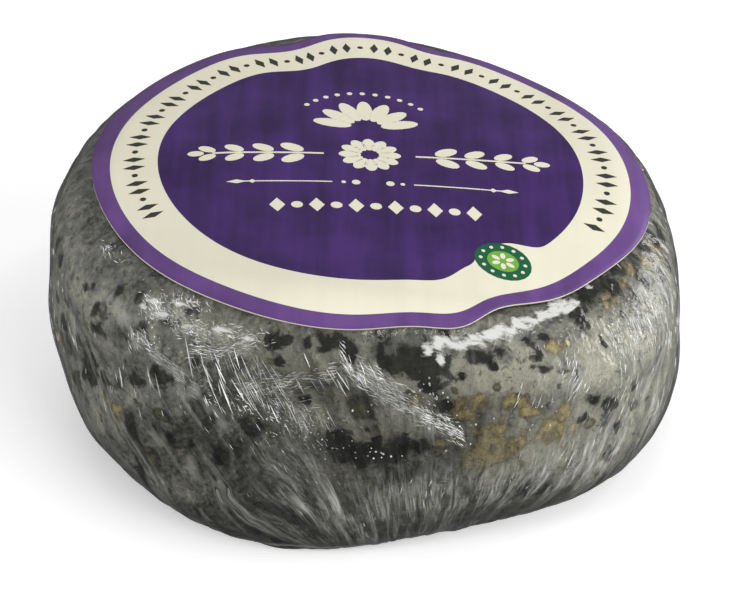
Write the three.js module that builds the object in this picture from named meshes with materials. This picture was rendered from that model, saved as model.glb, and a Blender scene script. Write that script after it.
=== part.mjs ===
// A whole small blue cheese wheel in clear film, with a round paper label on its top.
// Millimetres, +Z up. The origin is the middle of the flat base that it rests on.
// Angles are in degrees round +Z, from +X toward +Y. The front faces -Y.
import * as THREE from 'three';
import { mergeVertices } from 'three/addons/utils/BufferGeometryUtils.js';

// Driving dimensions of the wheel
const WHEEL_RADIUS = 85;
const WHEEL_HEIGHT = 71;
const SHOULDER_RADIUS = 20;
const WALL_LEAN = 0.9;
const WIDEST_HEIGHT = 32;
const BASE_RADIUS = 71.5;
// The top falls toward +X and is a low dome
const TOP_SLOPE = 0.084;
const DOME_DROP = 3;
const DOME_POWER = 2.5;
// Below 1 the foot tucks in late and stays full
const FOOT_POWER = 0.8;

// Each wave adds size * cos(lobes * (angle - toward)) and makes the wheel lopsided
const SIDE_WAVES = [
  { lobes: 2, size: 0.8, toward: 49 },
  { lobes: 3, size: 2.0, toward: -41 },
  { lobes: 4, size: 1.9, toward: -42 },
];
const BASE_WAVES = [
  { lobes: 1, size: 5.0, toward: 94 },
  { lobes: 2, size: 1.1, toward: 67 },
  { lobes: 3, size: 2.6, toward: 14 },
  { lobes: 4, size: 4.4, toward: -22 },
];
const RIM_WAVES = [
  { lobes: 2, size: 4.2, toward: 79 },
  { lobes: 3, size: 3.8, toward: 13 },
  { lobes: 4, size: 3.1, toward: 2 },
];

// Low lumps and soft hollows of the ripened side, which fade out at the foot and under the label
const LUMPS = [
  { depth: 0.35, around: 7, upward: 0.11, shift: 0 },
  { depth: 0.35, around: 11, upward: -0.19, shift: 1.3 },
];
const RELIEF_FOOT = 12;
const RELIEF_TOP = 57;
const RELIEF_FADE = 8;
const HOLLOWS = [
  { angle: -142, height: 40, reach: 15, depth: 1.2 },
  { angle: -98, height: 47, reach: 11, depth: 0.9 },
  { angle: -80, height: 36, reach: 13, depth: 1.0 },
  { angle: -52, height: 44, reach: 12, depth: 1.0 },
  { angle: -25, height: 40, reach: 14, depth: 1.1 },
  { angle: -118, height: 22, reach: 12, depth: 0.8 },
  { angle: 35, height: 36, reach: 16, depth: 1.1 },
  { angle: 100, height: 30, reach: 15, depth: 1.0 },
  { angle: 160, height: 42, reach: 14, depth: 1.1 },
];

// The label: a disc of thick paper with a waved edge
const LABEL_RADIUS = 73.8;
const LABEL_THICKNESS = 0.4;
const LABEL_GAP = 0.3;
// A negative depth stands out
const LABEL_DIPS = [
  { angle: -64, width: 17, depth: 6.1 },
  { angle: -36, width: 17, depth: 4.3 },
  { angle: 111, width: 11, depth: 8.6 },
  { angle: 76, width: 8, depth: 5.0 },
  { angle: -162, width: 31, depth: 1.8 },
  { angle: -112, width: 29, depth: -3.0 },
  { angle: -72, width: 8, depth: -4.0 },
];

// Mesh steps
const STEPS_ROUND = 96;
const TOP_ROWS = 7;
const SHOULDER_ROWS = 7;
const WALL_ROWS = 4;
const FOOT_ROWS = 8;
const BASE_ROWS = 2;
const LABEL_ROWS = 10;
// Above 1 the label's rows lie closer together toward its edge, where it bends
const LABEL_ROW_POWER = 1.5;

const toRadians = THREE.MathUtils.degToRad;
const clamp = THREE.MathUtils.clamp;

function waveSum(waves, angle) {
  return waves.reduce((sum, w) => sum + w.size * Math.cos(w.lobes * (angle - toRadians(w.toward))), 0);
}

// Shortest turn from one angle to the other, in degrees
function turnBetween(angle, degrees) {
  const turn = THREE.MathUtils.euclideanModulo(THREE.MathUtils.radToDeg(angle) - degrees + 180, 360);
  return turn - 180;
}

// The round wheel's profile, from the top's middle out over the shoulder and in to the base's middle
function wheelProfile() {
  const flatRadius = WHEEL_RADIUS - WALL_LEAN - SHOULDER_RADIUS;
  const points = [];
  for (let i = 0; i < TOP_ROWS; i += 1) {
    const out = Math.sqrt(i / TOP_ROWS);
    points.push(new THREE.Vector2(flatRadius * out, WHEEL_HEIGHT - DOME_DROP * out ** DOME_POWER));
  }
  const shoulderTop = WHEEL_HEIGHT - DOME_DROP;
  for (let i = 0; i <= SHOULDER_ROWS; i += 1) {
    const turn = (i / SHOULDER_ROWS) * (Math.PI / 2);
    const radius = flatRadius + SHOULDER_RADIUS * Math.sin(turn);
    points.push(new THREE.Vector2(radius, shoulderTop - SHOULDER_RADIUS * (1 - Math.cos(turn))));
  }
  const wallTop = shoulderTop - SHOULDER_RADIUS;
  for (let i = 1; i <= WALL_ROWS; i += 1) {
    const down = i / WALL_ROWS;
    const radius = WHEEL_RADIUS - WALL_LEAN * (1 - down) ** 2;
    points.push(new THREE.Vector2(radius, THREE.MathUtils.lerp(wallTop, WIDEST_HEIGHT, down)));
  }
  for (let i = 1; i <= FOOT_ROWS; i += 1) {
    const turn = (i / FOOT_ROWS) * (Math.PI / 2);
    const inward = 1 - Math.max(Math.cos(turn), 0) ** FOOT_POWER;
    const radius = THREE.MathUtils.lerp(WHEEL_RADIUS, BASE_RADIUS, inward);
    points.push(new THREE.Vector2(radius, WIDEST_HEIGHT * (1 - Math.sin(turn))));
  }
  for (let i = 1; i <= BASE_ROWS; i += 1) {
    points.push(new THREE.Vector2(BASE_RADIUS * (1 - i / BASE_ROWS), 0));
  }
  return points;
}

// How far the side stands out from the smooth wheel at one place
function sideRelief(angle, height) {
  let relief = 0;
  for (const lump of LUMPS) {
    relief += lump.depth * Math.sin(lump.around * angle + lump.upward * height + lump.shift);
  }
  for (const hollow of HOLLOWS) {
    const across = toRadians(turnBetween(angle, hollow.angle)) * WHEEL_RADIUS;
    const distance = Math.hypot(across, height - hollow.height) / hollow.reach;
    relief -= hollow.depth * Math.exp(-(distance ** 2));
  }
  return relief * clamp(height / RELIEF_FOOT, 0, 1) * clamp((RELIEF_TOP - height) / RELIEF_FADE, 0, 1);
}

// Moves a place on the round wheel to its place on the lopsided one
function shapeWheel(angle, radius, height) {
  const side = waveSum(SIDE_WAVES, angle);
  const foot = waveSum(BASE_WAVES, angle);
  let out = radius * (1 + side / WHEEL_RADIUS);
  if (height < WIDEST_HEIGHT) {
    const low = clamp((WHEEL_RADIUS - radius) / (WHEEL_RADIUS - BASE_RADIUS), 0, 1);
    out = THREE.MathUtils.lerp(WHEEL_RADIUS + side, BASE_RADIUS + foot, low);
    out *= Math.min(radius / BASE_RADIUS, 1);
  }
  const lean = THREE.MathUtils.smoothstep(height, 0, WIDEST_HEIGHT);
  const rim = waveSum(RIM_WAVES, angle) * (out / WHEEL_RADIUS) ** 3 * (height / WHEEL_HEIGHT) ** 2;
  const wide = out + sideRelief(angle, height);
  const x = wide * Math.cos(angle);
  const y = wide * Math.sin(angle);
  return new THREE.Vector3(x, y, height - x * TOP_SLOPE * lean + rim);
}

// Height of the round wheel's top at one radius
function topHeight(radius) {
  const flatRadius = WHEEL_RADIUS - WALL_LEAN - SHOULDER_RADIUS;
  const out = Math.min(radius / flatRadius, 1);
  const drop = SHOULDER_RADIUS - Math.sqrt(SHOULDER_RADIUS ** 2 - Math.max(radius - flatRadius, 0) ** 2);
  return WHEEL_HEIGHT - DOME_DROP * out ** DOME_POWER - drop;
}

function labelEdge(angle) {
  return LABEL_DIPS.reduce((edge, dip) => {
    const turn = turnBetween(angle, dip.angle) / dip.width;
    return edge - dip.depth * Math.exp(-(turn ** 2));
  }, LABEL_RADIUS);
}

// Turns a profile round +Z, moves every vertex and closes the mesh
function turnedSolid(profile, place) {
  const lathe = new THREE.LatheGeometry(profile, STEPS_ROUND);
  lathe.deleteAttribute('normal');
  lathe.deleteAttribute('uv');
  const closed = mergeVertices(lathe, 1e-3);
  const position = closed.getAttribute('position');
  for (let i = 0; i < position.count; i += 1) {
    const angle = Math.atan2(position.getX(i), position.getZ(i));
    const radius = Math.hypot(position.getX(i), position.getZ(i));
    const placed = place(angle, radius, position.getY(i));
    position.setXYZ(i, placed.x, placed.y, placed.z);
  }
  const corners = closed.getIndex().array;
  const faces = [];
  for (let i = 0; i < corners.length; i += 3) {
    const [a, b, c] = corners.slice(i, i + 3);
    if (a !== b && b !== c && c !== a) {
      faces.push(a, b, c);
    }
  }
  closed.setIndex(faces);
  closed.computeVertexNormals();
  return closed;
}

function wheelMesh() {
  const upward = wheelProfile().reverse();
  const geometry = turnedSolid(upward, shapeWheel);
  const material = new THREE.MeshStandardMaterial({ color: 0x83847b, roughness: 0.35, metalness: 0 });
  const mesh = new THREE.Mesh(geometry, material);
  mesh.name = 'wheel';
  return mesh;
}

// The label lies just above the wheel's top and bends down over the shoulder
function labelMesh() {
  const rowRadius = (i) => LABEL_RADIUS * (1 - (1 - i / LABEL_ROWS) ** LABEL_ROW_POWER);
  const profile = [];
  for (let i = 0; i <= LABEL_ROWS; i += 1) {
    profile.push(new THREE.Vector2(rowRadius(i), LABEL_GAP));
  }
  for (let i = LABEL_ROWS; i >= 0; i -= 1) {
    profile.push(new THREE.Vector2(rowRadius(i), LABEL_GAP + LABEL_THICKNESS));
  }
  const geometry = turnedSolid(profile, (angle, radius, rise) => {
    const side = 1 + waveSum(SIDE_WAVES, angle) / WHEEL_RADIUS;
    const out = radius * (labelEdge(angle) / LABEL_RADIUS);
    const placed = shapeWheel(angle, out / side, topHeight(out / side));
    placed.z += rise;
    return placed;
  });
  const material = new THREE.MeshStandardMaterial({ color: 0x5a3c80, roughness: 0.6, metalness: 0 });
  const mesh = new THREE.Mesh(geometry, material);
  mesh.name = 'label';
  return mesh;
}

const cheese = new THREE.Group();
cheese.add(wheelMesh(), labelMesh());

export default cheese;
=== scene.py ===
# A whole blue cheese wheel in clear film with a round paper label on its top.
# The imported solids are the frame; every length below is in metres unless its name ends in _mm.
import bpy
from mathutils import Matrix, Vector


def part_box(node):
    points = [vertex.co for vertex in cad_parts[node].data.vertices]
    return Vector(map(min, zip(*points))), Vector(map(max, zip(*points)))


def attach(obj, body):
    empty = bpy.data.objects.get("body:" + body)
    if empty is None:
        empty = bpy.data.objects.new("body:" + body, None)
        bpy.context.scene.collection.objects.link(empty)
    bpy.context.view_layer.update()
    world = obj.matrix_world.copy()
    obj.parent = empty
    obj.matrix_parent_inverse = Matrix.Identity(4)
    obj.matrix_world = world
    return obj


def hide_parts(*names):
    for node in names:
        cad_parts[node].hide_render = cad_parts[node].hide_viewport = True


bl_info = {
    "name": "Film-wrapped blue cheese wheel",
    "version": (1, 0, 0),
    "blender": (4, 5, 0),
    "location": "View3D > Sidebar > Cheese",
    "description": "Models the mould rind, the clear film and the printed label of a blue cheese wheel",
    "category": "Add Mesh",
}

import math

import bmesh
import bpy
import numpy as np
from bpy.props import FloatProperty, FloatVectorProperty, IntProperty, PointerProperty

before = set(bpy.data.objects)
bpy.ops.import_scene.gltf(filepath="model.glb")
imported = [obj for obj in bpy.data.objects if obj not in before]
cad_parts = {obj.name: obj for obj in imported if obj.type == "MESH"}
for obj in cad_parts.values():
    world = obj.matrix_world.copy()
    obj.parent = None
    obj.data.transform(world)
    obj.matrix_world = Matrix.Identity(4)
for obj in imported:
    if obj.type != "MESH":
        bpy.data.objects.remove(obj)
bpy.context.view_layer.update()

MM = 0.001
BODY = "root"
WHEEL_NODE = "wheel"
LABEL_NODE = "label"
BASE_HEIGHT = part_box(WHEEL_NODE)[0][2]

# The camera stands where the photograph was taken from
CAMERA_AIM_MM = (1.58, 0.0, 26.1)
CAMERA_DISTANCE_MM = 700.0
CAMERA_ELEVATION_DEG = 33.5
CAMERA_FOCAL_PX = 2586.0
PHOTO_WIDTH_PX = 752.0
SENSOR_MM = 36.0

# The top's dome is flat in the middle, and below 1 the foot tucks in late and stays full
DOME_POWER = 2.5
FOOT_POWER = 0.8

# The wheel is round and then made lopsided by size * cos(lobes * (angle - toward)), in mm and degrees
SIDE_WAVES = ((2, 0.8, 49), (3, 2.0, -41), (4, 1.9, -42))
BASE_WAVES = ((1, 5.0, 94), (2, 1.1, 67), (3, 2.6, 14), (4, 4.4, -22))
RIM_WAVES = ((2, 4.2, 79), (3, 3.8, 13), (4, 3.1, 2))

# Low lumps as depth, turns round the wheel, radians per mm upward and shift
LUMPS = ((0.35, 7, 0.11, 0.0), (0.35, 11, -0.19, 1.3))

# Soft hollows as angle, height, reach and depth in degrees and mm
HOLLOWS = (
    (-142, 40, 15, 1.2),
    (-98, 47, 11, 0.9),
    (-80, 36, 13, 1.0),
    (-52, 44, 12, 1.0),
    (-25, 40, 14, 1.1),
    (-118, 22, 12, 0.8),
    (35, 36, 16, 1.1),
    (100, 30, 15, 1.0),
    (160, 42, 14, 1.1),
)
RELIEF_FOOT_MM = 12.0
RELIEF_TOP_MM = 57.0
RELIEF_FADE_MM = 8.0

# Dips of the label's rings as angle and width in degrees, then the depth in mm at the paper's edge,
# at the border's inner ring and at the field's ring; a negative depth stands out
LABEL_DIPS = (
    (-64, 17, 6.1, 5.0, 4.9),
    (-36, 17, 4.3, 3.4, 1.1),
    (111, 11, 8.6, 5.9, 5.3),
    (76, 8, 5.0, 2.7, 2.1),
    (-162, 31, 1.8, 0.6, 0.4),
    (-112, 29, -3.0, -3.5, -3.3),
    (-72, 8, -4.0, -3.9, -3.5),
    (140, 32, 0.0, 2.6, 2.8),
    (-94, 24, 0.0, -2.2, -2.6),
)
NOTCH_DEG = -49.0
NOTCH_WIDTH_DEG = 9.0

# Mould on the rind as angle in degrees, then height, half width and half height in mm
BLACK_MOULD = (
    (-83, 60.6, 6.2, 4.6), (-79, 59.6, 4.6, 5.0), (-84, 63, 2.2, 1.9), (-71, 59.6, 3.9, 1.9),
    (-66, 59, 1.5, 1.8), (-60, 59, 2.8, 1.4), (-56, 58, 1.8, 1.0), (-59, 56, 1.7, 1.5),
    (-57, 61, 2.9, 0.8), (-80, 54.5, 3.0, 2.6), (-77, 49, 2.4, 2.0), (-95, 38.5, 3.4, 2.6),
    (-93, 35, 5.3, 3.8), (-88.5, 35, 4.8, 5.0), (-84.5, 36, 3.9, 3.5), (-81, 36, 2.9, 2.2),
    (-97, 40, 1.2, 2.2), (-86, 27, 3.7, 3.0), (-107, 65, 3.2, 2.2), (-105, 66, 2.4, 2.0),
    (-101, 65, 1.2, 2.2), (-98, 65.5, 2.2, 1.8), (-95.5, 65.5, 3.2, 2.0), (-93, 63, 1.6, 3.0),
    (-105, 60, 1.4, 1.2), (-122.5, 67.6, 2.2, 1.5), (-59, 53, 2.3, 1.1), (-55, 51, 2.0, 0.8),
    (-50, 40, 2.4, 1.9), (-46, 36, 2.3, 3.0), (-46, 21, 2.2, 2.6), (-40, 32, 1.8, 2.6),
    (-61, 19, 4.5, 3.4), (-88, 63.5, 1.0, 3.2), (-76, 65, 1.2, 1.8), (-68, 56.5, 1.0, 1.0),
    (-74, 55.8, 1.0, 0.8), (-53, 48.5, 1.2, 2.0), (-56.5, 47.5, 1.0, 1.2), (-45.5, 57, 2.7, 3.6),
    (-41, 58.3, 3.0, 2.2), (-37, 58.5, 3.8, 3.2), (-33, 57.5, 3.0, 2.8), (-28, 58.5, 2.8, 2.2),
    (-22, 57.8, 2.4, 2.2), (-17, 57.5, 2.0, 3.0), (-12, 56.5, 2.0, 3.0), (-25, 54.6, 1.6, 2.6),
    (-44, 51.5, 0.9, 1.7), (-47, 32.5, 1.6, 2.2), (-52, 36.5, 1.4, 1.6), (-44, 28.5, 1.1, 2.2),
    (-40, 37.5, 0.9, 1.5), (-30, 54, 1.2, 1.6), (-19, 52, 1.4, 2.2), (-36, 53, 1.1, 1.1),
    (-14, 50, 1.2, 2.0), (-23, 48, 0.9, 1.5), (-8, 55, 2.0, 3.0), (-4, 52, 1.6, 2.6),
    (-147, 61, 1.3, 1.0), (-145, 62.5, 1.2, 1.1), (-142, 58.5, 1.6, 2.0), (-141, 54, 2.7, 3.0),
    (-139, 65, 1.6, 2.4), (-134, 66, 1.5, 2.0), (-146, 42.5, 4.2, 3.4), (-145, 37, 5.4, 3.6),
    (-140, 39, 2.1, 1.8), (-136, 42, 2.0, 1.8), (-132, 46, 2.9, 2.6), (-125.5, 50.5, 3.3, 3.2),
    (-153, 38, 3.2, 4.0), (-155, 44, 2.4, 2.4), (-133, 56, 1.6, 1.0), (-133, 30, 2.0, 4.4),
    (-120, 57, 1.1, 0.8), (-126, 33, 2.7, 2.1), (-116, 31, 2.5, 2.3), (-134, 13, 3.4, 3.6),
    (-110, 40, 2.5, 3.5), (-111, 7, 2.2, 2.0), (-106, 5, 3.0, 2.4), (-121, 32, 1.2, 1.4),
    (-131, 61, 2.2, 2.0), (-126, 64, 2.2, 1.6), (-150, 30, 2.4, 3.0), (-160, 58, 2.2, 2.4),
    (-101, 50, 1.4, 1.0), (-100, 54, 1.2, 0.9),
)
OCHRE_MOULD = (
    (-73.5, 46, 3.8, 3.4), (-71, 48.6, 2.4, 1.8), (-65, 47, 4.6, 2.4), (-62, 43.6, 3.2, 2.4),
    (-57, 36, 5.0, 4.8), (-55, 39.6, 2.4, 3.0), (-69, 35.5, 6.8, 6.0), (-72.5, 32, 3.0, 4.4),
    (-68, 39.6, 3.0, 2.6), (-82.5, 51.5, 2.2, 1.5), (-78, 37, 3.0, 1.5), (-55, 56, 2.3, 2.4),
    (-36, 56.5, 3.4, 2.8), (-31, 57, 4.4, 2.8), (-25.5, 56.8, 3.6, 2.8), (-20, 56, 3.0, 2.8),
    (-14, 55, 2.6, 3.0), (-137, 33, 3.2, 2.4), (-106, 60.6, 2.0, 1.2), (-42, 36, 1.3, 1.9),
    (-52, 55, 1.6, 1.4),
)
# Soft round spots with a darker rim
RING_MOULD = (
    (-91.2, 48.5, 3.7, 3.5), (-68.2, 56.8, 1.6, 1.4), (-73.8, 55.9, 1.3, 1.0), (-126, 39, 2.9, 2.2),
    (-130, 22.4, 3.4, 3.6), (-142.8, 52.8, 1.1, 2.3), (-50.5, 33.6, 2.0, 2.0), (-68, 51.6, 1.4, 1.3),
    (-113, 33, 2.1, 1.8), (-75.5, 52.6, 1.2, 1.0), (-112, 27, 1.8, 1.8), (-60, 55.6, 1.4, 1.2),
)
# Areas where the rind's colour is painted lighter or darker, lighter at the right of the front and just
# under the label's edge and darker low on the back: angle, height, half width, half height and lightness
DRIFTS = (
    (-62, 51, 13, 7, 0.7), (-36, 48, 18, 12, 0.4), (-90, 57, 9, 3, 0.7), (-97, 48, 6, 5, 0.8),
    (-112, 66.5, 10, 4, 1.6), (-12, 42, 16, 16, 0.2), (-87, 43, 8, 4, 1.3), (-47, 35, 12, 8, 0.5),
    (-77, 53, 7, 5, 0.7), (-140, 36, 13, 12, -0.1), (-115, 34, 12, 9, 0.1), (-108, 17, 22, 11, -0.2),
    (-128, 18, 22, 10, 0.1), (-158, 45, 16, 20, 0.1), (-80, 60, 8, 3, -0.3), (-101, 63.5, 9, 4, 1.3),
    (-40, 22, 20, 12, 0.5), (-62, 34, 9, 6, 0.6), (-66, 64, 10, 2.4, 1.0), (-52, 62, 8, 2.4, 1.0),
    (-71, 56, 8, 4, 0.6), (-47, 50, 8, 8, 0.6), (-96, 42, 4, 4, 0.5), (-98, 30, 5, 4, 0.5),
    (-63, 26, 8, 5, 0.9), (-103, 19, 8, 6, -0.3), (-105, 62, 7, 4, 0.8), (-95, 46, 5, 5, 0.7),
    (-124, 69, 6, 3, 1.0), (-70, 14, 14, 6, 0.4), (-45, 13, 18, 7, 0.7), (-26, 30, 10, 12, 0.3),
    (-82, 20, 14, 7, 0.3), (60, 50, 30, 12, 0.6), (100, 20, 50, 11, -0.4), (160, 46, 24, 12, 0.4),
    (30, 16, 40, 9, -0.4),
)
# Toward the base the film's pull turns to the front, and most steeply just left of it: how far it has
# turned in radians at the foot, where, and how wide the steep part is
PULL_TURN = 0.95
PULL_FRONT_DEG = -85
GATHER_TURN = 0.5
GATHER_DEG = -98
GATHER_WIDTH_DEG = 14
# Film that is crumpled into small facets
CRUMPLES = (
    (-127.5, 66, 6.0, 4.0), (-118, 65.4, 7.0, 2.6), (-116, 57, 8.0, 6.0), (-110, 53, 8.0, 5.5),
    (-105, 49, 7.0, 6.0), (-116, 47, 4.0, 5.0), (-101, 43, 5.0, 4.0), (-112, 39, 5.0, 4.0),
    (-86, 54, 4.0, 2.6), (-80, 49, 5.0, 2.6), (-74, 43, 5.0, 2.6), (-36, 50, 9.0, 6.0),
    (-26, 44, 10.0, 10.0), (-45, 28, 8.0, 6.0), (-104, 28, 6.0, 5.0), (60, 40, 12.0, 8.0),
    (140, 35, 14.0, 9.0), (-170, 40, 10.0, 8.0),
)
# Film that is milky with fine stretch lines, in the same terms with a strength
FIBRES = (
    (-127.5, 66, 6.0, 3.6, 0.5), (-117, 65.4, 6.0, 2.2, 0.4), (-112, 54, 6.0, 5.0, 0.3),
    (-104, 45, 5.0, 4.0, 0.3), (-38, 42, 6.0, 10.0, 0.6), (-26, 46, 8.0, 12.0, 0.8),
    (-74, 20, 14.0, 8.0, 1.0), (-50, 24, 12.0, 10.0, 0.9), (-63, 23, 9.0, 7.0, 0.5),
    (-44, 12, 12.0, 6.0, 0.5), (-96, 17, 9.0, 8.0, 0.9), (-68, 28, 6.0, 3.0, 0.3),
    (-106, 24, 6.0, 7.0, 0.4), (-103, 33, 5.0, 4.0, 0.4), (-34, 24, 14.0, 12.0, 0.9),
    (-53, 47, 3.5, 6.0, 0.8), (-80, 42, 4.0, 4.0, 0.25), (-84, 6, 20.0, 5.0, 0.6),
    (-92, 57, 3.0, 3.0, 0.5), (-88, 53, 3.0, 3.0, 0.5), (-84, 49, 3.0, 3.0, 0.5),
    (-80, 45.5, 3.0, 3.0, 0.5), (-75, 41, 3.0, 3.0, 0.5), (0, 30, 20.0, 14.0, 0.8),
    (50, 28, 24.0, 12.0, 0.8), (100, 34, 24.0, 14.0, 0.8), (150, 28, 24.0, 12.0, 0.8),
    (-168, 34, 12.0, 16.0, 0.3),
)
# Film that lies in smooth milky ribbons
VEILS = (
    (-138, 63, 1.8, 2.6, 0.35), (-134, 61, 2.0, 2.4, 0.4), (-131, 57.4, 1.8, 2.4, 0.45),
    (-126.5, 55.5, 2.2, 1.8, 0.45), (-122.5, 53.5, 2.0, 2.0, 0.45), (-119.3, 50, 1.6, 2.4, 0.45),
    (-117, 45.4, 1.4, 2.6, 0.4), (-115.4, 40.2, 1.3, 3.0, 0.3), (-119, 60, 3.0, 1.8, 0.25),
    (-142, 46, 2.6, 4.0, 0.3), (-149, 52, 2.6, 10.0, 0.3), (-127, 66.2, 4.0, 3.0, 0.3),
    (-91, 54.5, 3.0, 2.0, 0.2), (-84, 48.5, 3.0, 2.0, 0.2), (-77, 42.5, 3.0, 2.0, 0.2),
    (-47, 26, 12.0, 9.0, 0.2), (-97, 20, 5.0, 3.0, 0.3), (-128, 31, 3.0, 4.0, 0.25),
    (-121, 25, 2.0, 6.0, 0.25), (-105, 3, 6.0, 0.9, 0.5), (-92, 2.6, 8.0, 0.9, 0.5),
    (-78, 2.6, 8.0, 0.9, 0.5), (-64, 3.2, 8.0, 0.9, 0.5), (-50, 4.2, 8.0, 0.9, 0.5),
    (-28, 40, 10.0, 14.0, 0.2), (-56, 53, 6.0, 5.0, 0.15), (60, 36, 40.0, 16.0, 0.15),
    (150, 36, 40.0, 16.0, 0.15),
)
# Film that lies in long pleats, each a painted highlight line beside a painted shade line
PLEATS = (
    (-132, 24, 14.0, 14.0, 1.0), (-113, 20, 10.0, 14.0, 1.0), (-148, 42, 8.0, 16.0, 0.7),
    (-124, 42, 6.0, 8.0, 0.7), (-98, 14, 10.0, 8.0, 0.6), (-50, 24, 20.0, 14.0, 0.5),
    (-26, 40, 12.0, 20.0, 0.5), (-62, 52, 12.0, 8.0, 0.3), (40, 34, 40.0, 22.0, 0.7),
    (130, 34, 40.0, 22.0, 0.7), (-170, 36, 14.0, 20.0, 0.8),
)
# Painted glare: jagged white reflection painted where the film lies taut over the shoulder
GLARE = (
    (-80, 62.8, 2.0, 1.8), (-77.5, 63.1, 3.6, 2.4), (-74.5, 62.7, 4.6, 2.5), (-71, 62.3, 4.6, 2.1),
    (-67.5, 62.2, 4.6, 2.0), (-64, 61.9, 4.8, 2.1), (-60.5, 61.4, 4.6, 2.1), (-57, 60.8, 4.4, 1.9),
    (-53.5, 60.2, 4.0, 2.0), (-50, 59.8, 4.2, 2.8), (-46.5, 59.2, 3.8, 2.7), (-44, 58.9, 2.4, 2.0),
    (-48.5, 62.0, 2.8, 1.2), (-77.5, 60.2, 1.6, 2.0), (-130.5, 66.8, 2.6, 1.0),
    (-127.5, 65.2, 2.6, 1.1), (-122, 64.6, 3.0, 1.4), (-116, 65.8, 3.8, 1.4), (-132, 65.0, 1.6, 1.0),
    (-125.5, 68, 2.2, 0.9), (-111, 65.2, 2.8, 0.9), (-38, 58.8, 1.8, 1.0), (40, 62, 6.0, 1.8),
    (75, 63, 7.0, 1.9), (130, 62, 5.0, 1.8),
)
# Painted glints of bright folds as angle, height, half width and half height of their patch, how many
# there are, their lean from straight down toward the right in degrees and their length in mm
GLINTS = (
    (-127.5, 66.2, 5.0, 3.6, 150, 55, 1.6), (-121.5, 64.6, 4.0, 2.0, 80, 80, 1.5),
    (-115, 65.6, 6.0, 2.0, 80, 80, 1.8), (-110, 65, 4.0, 1.6, 30, 75, 1.6),
    (-124, 68.8, 5.0, 2.0, 60, 60, 1.7), (-147, 68.5, 4.0, 2.0, 26, 80, 2.0),
    (-150, 44, 2.0, 6.0, 8, 10, 6.0), (-131, 58, 3.0, 4.0, 16, 30, 2.4),
    (-115, 57, 6.0, 4.0, 20, 22, 6.0), (-109, 55, 5.0, 4.0, 20, 26, 6.5),
    (-111, 51, 6.0, 4.5, 26, 24, 6.0), (-106, 48, 6.0, 4.5, 26, 28, 5.0),
    (-101, 44, 6.0, 4.0, 16, 30, 4.4), (-110, 50, 8.0, 6.0, 110, 75, 1.1),
    (-104, 45, 6.0, 5.0, 80, 75, 1.1), (-99, 40, 5.0, 4.0, 30, 70, 1.1),
    (-116, 44, 6.0, 5.0, 14, 26, 3.2), (-96, 57, 6.0, 3.5, 16, 28, 5.6),
    (-122, 52, 4.0, 6.0, 6, 22, 3.2), (-128, 46, 5.0, 8.0, 5, 22, 4.6),
    (-138, 40, 6.0, 12.0, 8, 14, 4.0), (-108, 36, 9.0, 6.0, 12, 34, 2.4),
    (-100, 27, 10.0, 6.0, 10, 30, 2.0), (-90, 16, 14.0, 7.0, 8, 10, 2.4),
    (-72, 24, 12.0, 7.0, 12, -8, 2.4), (-56, 28, 9.0, 9.0, 16, -24, 2.8),
    (-44, 38, 6.0, 10.0, 50, -24, 2.8), (-36, 50, 9.0, 6.0, 60, -18, 2.8),
    (-26, 46, 8.0, 12.0, 70, -14, 3.2), (-18, 36, 8.0, 14.0, 30, -16, 3.6),
    (-53, 48, 4.0, 6.0, 40, -40, 2.2), (-86, 55, 5.0, 3.0, 16, 58, 2.0),
    (-60, 47, 9.0, 7.0, 10, -16, 2.6), (-50, 55, 7.0, 4.0, 12, -30, 2.2),
    (40, 40, 60.0, 22.0, 130, -10, 3.0), (140, 40, 60.0, 22.0, 130, 8, 3.0),
    (-165, 42, 20.0, 20.0, 30, 14, 3.0),
)
# Painted glints along bunched creases: each runs through its places given as angle and height
BUNCHES = (
    ((-95, 63), (-93, 58.6), (-90, 55), (-87, 51.8), (-84, 48.9), (-81, 46), (-77, 42.3), (-74, 38.8)),
    ((-92, 61), (-88, 56.7), (-85, 52), (-80, 48), (-75, 42)),
    ((-121, 60.4), (-117, 61.2), (-113, 62.8), (-110, 64.2)),
    ((-111, 53), (-108, 55), (-104, 55), (-101, 56.5), (-96, 58.5)),
    ((-131, 58), (-126, 55.8), (-119.5, 50.5)),
)
# Painted glints of air bubbles under the film as angle, height, half width and half height of their patch,
# and how many
BUBBLES = (
    (-95, 38, 5.0, 4.0, 8), (-90, 35, 4.0, 3.0, 8), (-86, 36, 3.0, 2.0, 4), (-91, 49, 2.5, 2.5, 3),
    (-81, 54, 3.0, 3.0, 16), (-78, 51, 3.0, 2.0, 8), (-74, 44, 5.0, 5.0, 8), (-99, 46, 4.0, 4.0, 8),
    (-62, 40, 7.0, 7.0, 8), (-40, 52, 8.0, 5.0, 12), (-128, 60, 5.0, 4.0, 12), (40, 45, 40.0, 15.0, 30),
    (150, 42, 40.0, 15.0, 30),
)


def hex_colour(text):
    """Linear RGBA of an sRGB hex value."""
    values = [int(text[i:i + 2], 16) / 255 for i in (1, 3, 5)]
    return tuple(v / 12.92 if v <= 0.04045 else ((v + 0.055) / 1.055) ** 2.4 for v in values) + (1.0,)


def length(name, description, default, **options):
    return FloatProperty(name=name, description=description, default=default, unit="LENGTH", **options)


def colour(name, description, default):
    return FloatVectorProperty(
        name=name, description=description, default=hex_colour(default),
        subtype="COLOR", size=4, min=0.0, max=1.0)


def power(name, description, default):
    return FloatProperty(name=name, description=description, default=default, unit="POWER")


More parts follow.
